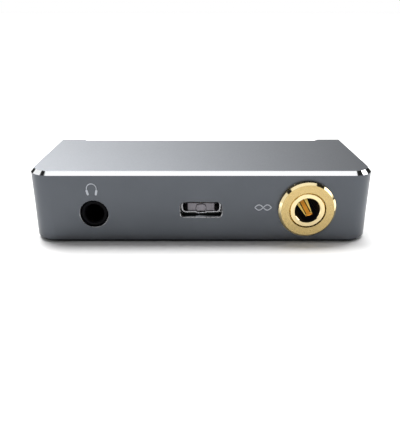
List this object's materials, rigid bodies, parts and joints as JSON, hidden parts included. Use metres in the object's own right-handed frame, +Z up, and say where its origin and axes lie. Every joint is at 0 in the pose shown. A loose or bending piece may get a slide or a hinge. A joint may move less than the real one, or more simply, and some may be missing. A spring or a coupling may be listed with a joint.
{
  "type": "desktop dac",
  "caption": "Flat pocket-size DAC and headphone amplifier module: headphone jack, USB port and gold-ringed balanced jack in front, dock plug at the back.",
  "frame": {"origin": "centre of the whole object's box, at the level of the flat bottom", "axes": "+X to the right along the front, +Y from the front to the back, +Z up"},
  "size_m": [0.064, 0.0314, 0.014],
  "materials": {
    "anodised_aluminium": "satin space-grey anodised, chamfers cut bright after anodising",
    "gold_plated_brass": "gold plated, satin turned face and polished edge",
    "contact_gold": "gold plated spring bronze",
    "plain_brass": "turned",
    "stainless_steel": "bright stamped or turned stainless steel",
    "tinned_steel": "tin plated",
    "screw_steel": "black oxide",
    "black_plastic": "black moulded",
    "connector_plastic": "grey moulded",
    "circuit_board": "black solder resist on glass fibre",
    "polyimide_film": "amber film",
    "chip_epoxy": "black moulded epoxy",
    "capacitor_epoxy": "yellow-brown moulded epoxy",
    "capacitor_ceramic": "tan fired ceramic",
    "resistor_ceramic": "black glazed film on alumina",
    "ferrite": "dark grey fired ferrite"
  },
  "bodies": {
    "module": {"housing": "anodised_aluminium", "balanced_ring_nut": "gold_plated_brass", "balanced_bush": "gold_plated_brass", "balanced_jack_body": "black_plastic", "balanced_terminals": "contact_gold", "headphone_jack_body": "black_plastic", "headphone_terminals": "contact_gold", "usb_shell": "stainless_steel", "usb_tongue": "connector_plastic", "usb_contacts": "contact_gold", "main_board": "circuit_board", "insulating_film": "polyimide_film", "board_standoffs": "plain_brass", "board_screws": "screw_steel", "usb_bridge_chip": "chip_epoxy", "dac_chip": "chip_epoxy", "clock_oscillators": "tinned_steel", "voltage_regulators": "chip_epoxy", "output_op_amps": "chip_epoxy", "logic_chips": "chip_epoxy", "polymer_capacitors": "capacitor_epoxy", "film_capacitors": "connector_plastic", "power_inductors": "ferrite", "ferrite_beads": "ferrite", "chip_resistors": "resistor_ceramic", "chip_capacitors": "capacitor_ceramic", "shield_frame": "tinned_steel", "shield_lid": "tinned_steel", "rear_cover": "black_plastic", "rear_cover_screws": "screw_steel", "guide_pins": "stainless_steel", "dock_tongue_left": "stainless_steel", "dock_tongue_right": "stainless_steel", "dock_plug_body": "black_plastic", "dock_plug_shell": "stainless_steel", "dock_plug_contacts": "contact_gold"},
    "balanced_spring_sleeve": {"balanced_spring_sleeve": "contact_gold"},
    "balanced_spring_ring_three": {"balanced_spring_ring_three": "contact_gold"},
    "balanced_spring_ring_two": {"balanced_spring_ring_two": "contact_gold"},
    "balanced_spring_ring_one": {"balanced_spring_ring_one": "contact_gold"},
    "balanced_spring_tip": {"balanced_spring_tip": "contact_gold"},
    "headphone_spring_sleeve": {"headphone_spring_sleeve": "contact_gold"},
    "headphone_spring_ring": {"headphone_spring_ring": "contact_gold"},
    "headphone_spring_detect": {"headphone_spring_detect": "contact_gold"},
    "headphone_spring_tip": {"headphone_spring_tip": "contact_gold"}
  },
  "joints": [
    {"name": "balanced_spring_sleeve_flex", "type": "hinge", "parent": "module", "child": "balanced_spring_sleeve", "pos_m": [0.0208, -0.01235, 0.00463], "axis": [-0.891, 0, -0.454], "range_deg": [0, 3], "stiffness_Nm_per_rad": 0.3},
    {"name": "balanced_spring_ring_three_flex", "type": "hinge", "parent": "module", "child": "balanced_spring_ring_three", "pos_m": [0.022, -0.00275, 0.00801], "axis": [-0.4067, 0, 0.9135], "range_deg": [0, 3], "stiffness_Nm_per_rad": 0.3},
    {"name": "balanced_spring_ring_two_flex", "type": "hinge", "parent": "module", "child": "balanced_spring_ring_two", "pos_m": [0.01971, 0.00045, 0.00955], "axis": [-0.9994, 0, 0.0349], "range_deg": [0, 3], "stiffness_Nm_per_rad": 0.3},
    {"name": "balanced_spring_ring_one_flex", "type": "hinge", "parent": "module", "child": "balanced_spring_ring_one", "pos_m": [0.01718, 0.00365, 0.00784], "axis": [-0.342, 0, -0.9397], "range_deg": [0, 3], "stiffness_Nm_per_rad": 0.3},
    {"name": "balanced_spring_tip_flex", "type": "hinge", "parent": "module", "child": "balanced_spring_tip", "pos_m": [0.01802, 0.00585, 0.0049], "axis": [0.788, 0, -0.6157], "range_deg": [0, 3], "stiffness_Nm_per_rad": 0.3},
    {"name": "headphone_spring_sleeve_flex", "type": "hinge", "parent": "module", "child": "headphone_spring_sleeve", "pos_m": [-0.01783, -0.00735, 0.00585], "axis": [0, 0, 1], "range_deg": [0, 4], "stiffness_Nm_per_rad": 0.15},
    {"name": "headphone_spring_ring_flex", "type": "hinge", "parent": "module", "child": "headphone_spring_ring", "pos_m": [-0.02213, -0.00355, 0.00585], "axis": [0, 0, -1], "range_deg": [0, 4], "stiffness_Nm_per_rad": 0.15},
    {"name": "headphone_spring_detect_flex", "type": "hinge", "parent": "module", "child": "headphone_spring_detect", "pos_m": [-0.01998, -0.00215, 0.0037], "axis": [1, 0, 0], "range_deg": [0, 4], "stiffness_Nm_per_rad": 0.15},
    {"name": "headphone_spring_tip_flex", "type": "hinge", "parent": "module", "child": "headphone_spring_tip", "pos_m": [-0.01998, 0.00025, 0.008], "axis": [-1, 0, 0], "range_deg": [0, 4], "stiffness_Nm_per_rad": 0.15}
  ]
}
